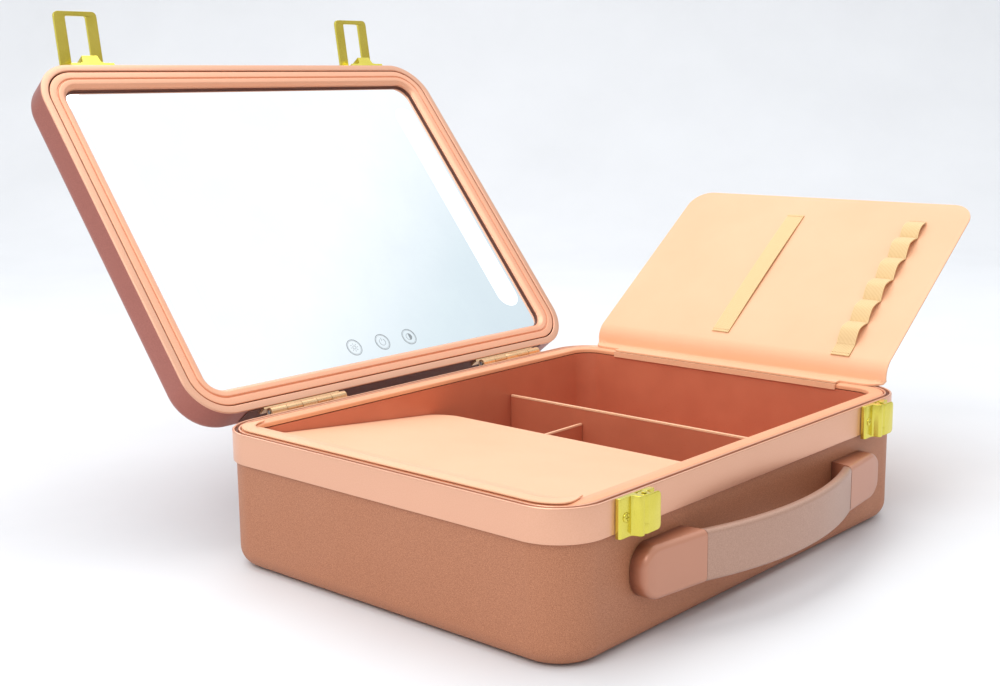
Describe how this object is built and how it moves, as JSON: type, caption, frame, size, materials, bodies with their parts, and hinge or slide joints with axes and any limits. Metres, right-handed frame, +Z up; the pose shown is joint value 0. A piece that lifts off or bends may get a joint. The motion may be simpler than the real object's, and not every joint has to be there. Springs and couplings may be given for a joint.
{
  "type": "vanity case",
  "caption": "Hard-shell carry case, open: lit mirror in a hinged lid, compartments, folding flaps, side-locking latches and a front handle.",
  "frame": {"origin": "centre of the flat underside of the body", "axes": "+Z up; -Y towards the front with the latches and the handle; +X to the right of someone facing the front"},
  "size_m": [0.4704, 0.4795, 0.3207],
  "materials": {
    "grained_shell": "fine moulded grain, satin",
    "rose_metal": "satin anodised rose gold",
    "liner_plastic": "smooth gloss",
    "leatherette": "fine grained imitation leather on board",
    "grip_plastic": "satin",
    "cap_plastic": "smooth satin",
    "gold_plating": "bright plated",
    "steel": "plain",
    "mirror_glass": "polished",
    "elastic": "woven elastic",
    "circuit_board": "solder mask",
    "black_plastic": "matt",
    "grey_board": "matt board"
  },
  "bodies": {
    "body": {"body_shell": "grained_shell", "body_band": "rose_metal", "body_liner": "liner_plastic", "long_divider": "liner_plastic", "cross_divider": "liner_plastic", "handle_grip": "grip_plastic", "handle_cap_left": "cap_plastic", "handle_cap_right": "cap_plastic", "handle_plate_left": "steel", "handle_plate_right": "steel", "handle_screw_left_1": "steel", "handle_screw_right_1": "steel", "handle_screw_left_2": "steel", "handle_screw_right_2": "steel", "hasp_base_left": "gold_plating", "hasp_base_right": "gold_plating", "hasp_pin_left": "gold_plating", "hasp_pin_right": "gold_plating", "hasp_screw_left": "gold_plating", "hasp_screw_right": "gold_plating", "hinge_body_leaf_left": "rose_metal", "hinge_body_leaf_right": "rose_metal", "hinge_pin_left": "steel", "hinge_pin_right": "steel", "flap_anchor_left": "leatherette", "flap_anchor_right": "leatherette"},
    "lid": {"lid_shell": "grained_shell", "lid_frame": "rose_metal", "lid_bezel": "leatherette", "mirror_glass": "mirror_glass", "mirror_backing": "grey_board", "led_strip_left": "circuit_board", "led_strip_right": "circuit_board", "touch_board": "circuit_board", "control_board": "circuit_board", "battery": "black_plastic", "charging_port": "steel", "hinge_lid_leaf_left": "rose_metal", "hinge_lid_leaf_right": "rose_metal", "loop_bracket_left": "gold_plating", "loop_bracket_right": "gold_plating", "bracket_screw_left_1": "gold_plating", "bracket_screw_right_1": "gold_plating", "bracket_screw_left_2": "gold_plating", "bracket_screw_right_2": "gold_plating"},
    "loop_left": {"latch_loop_left": "gold_plating"},
    "loop_right": {"latch_loop_right": "gold_plating"},
    "tab_left": {"hasp_tab_left": "gold_plating"},
    "tab_right": {"hasp_tab_right": "gold_plating"},
    "right_hinge_strip": {"right_flap_hinge": "leatherette"},
    "right_board": {"right_flap": "leatherette", "flat_elastic": "elastic", "loop_elastic": "elastic"},
    "left_hinge_strip": {"left_flap_hinge": "leatherette"},
    "left_board": {"left_flap": "leatherette"}
  },
  "joints": [
    {"name": "lid_hinge", "type": "hinge", "parent": "body", "child": "lid", "pos_m": [0, 0.1352, 0.0797], "axis": [-1, 0, 0], "range_deg": [-128.4, 0]},
    {"name": "loop_left_swing", "type": "hinge", "parent": "lid", "child": "loop_left", "pos_m": [-0.1215, 0.31672, 0.28086], "axis": [-1, 0, 0], "range_deg": [-60.6, 0]},
    {"name": "tab_left_swing", "type": "hinge", "parent": "body", "child": "tab_left", "pos_m": [-0.1175, -0.1346, 0.07], "axis": [0, 0, -1], "range_deg": [0, 90]},
    {"name": "loop_right_swing", "type": "hinge", "parent": "lid", "child": "loop_right", "pos_m": [0.1215, 0.31672, 0.28086], "axis": [-1, 0, 0], "range_deg": [-60.6, 0]},
    {"name": "tab_right_swing", "type": "hinge", "parent": "body", "child": "tab_right", "pos_m": [0.1255, -0.1346, 0.07], "axis": [0, 0, -1], "range_deg": [0, 90]},
    {"name": "right_flap_hinge", "type": "hinge", "parent": "body", "child": "right_hinge_strip", "pos_m": [0.1556, 0, 0.0809], "axis": [0, 1, 0], "range_deg": [-180, 0]},
    {"name": "right_flap_fold", "type": "hinge", "parent": "right_hinge_strip", "child": "right_board", "pos_m": [0.1711, 0, 0.0916], "axis": [0, -1, 0], "range_deg": [-36, 0]},
    {"name": "left_flap_hinge", "type": "hinge", "parent": "body", "child": "left_hinge_strip", "pos_m": [-0.1556, 0, 0.0809], "axis": [0, -1, 0], "range_deg": [0, 180]},
    {"name": "left_flap_fold", "type": "hinge", "parent": "left_hinge_strip", "child": "left_board", "pos_m": [-0.1401, 0, 0.0702], "axis": [0, 1, 0], "range_deg": [0, 30.4]}
  ],
  "couplings": [
    {"joint": "right_flap_fold", "follows": "right_flap_hinge", "ratio": 0.2},
    {"joint": "left_flap_fold", "follows": "left_flap_hinge", "ratio": 0.16889}
  ]
}
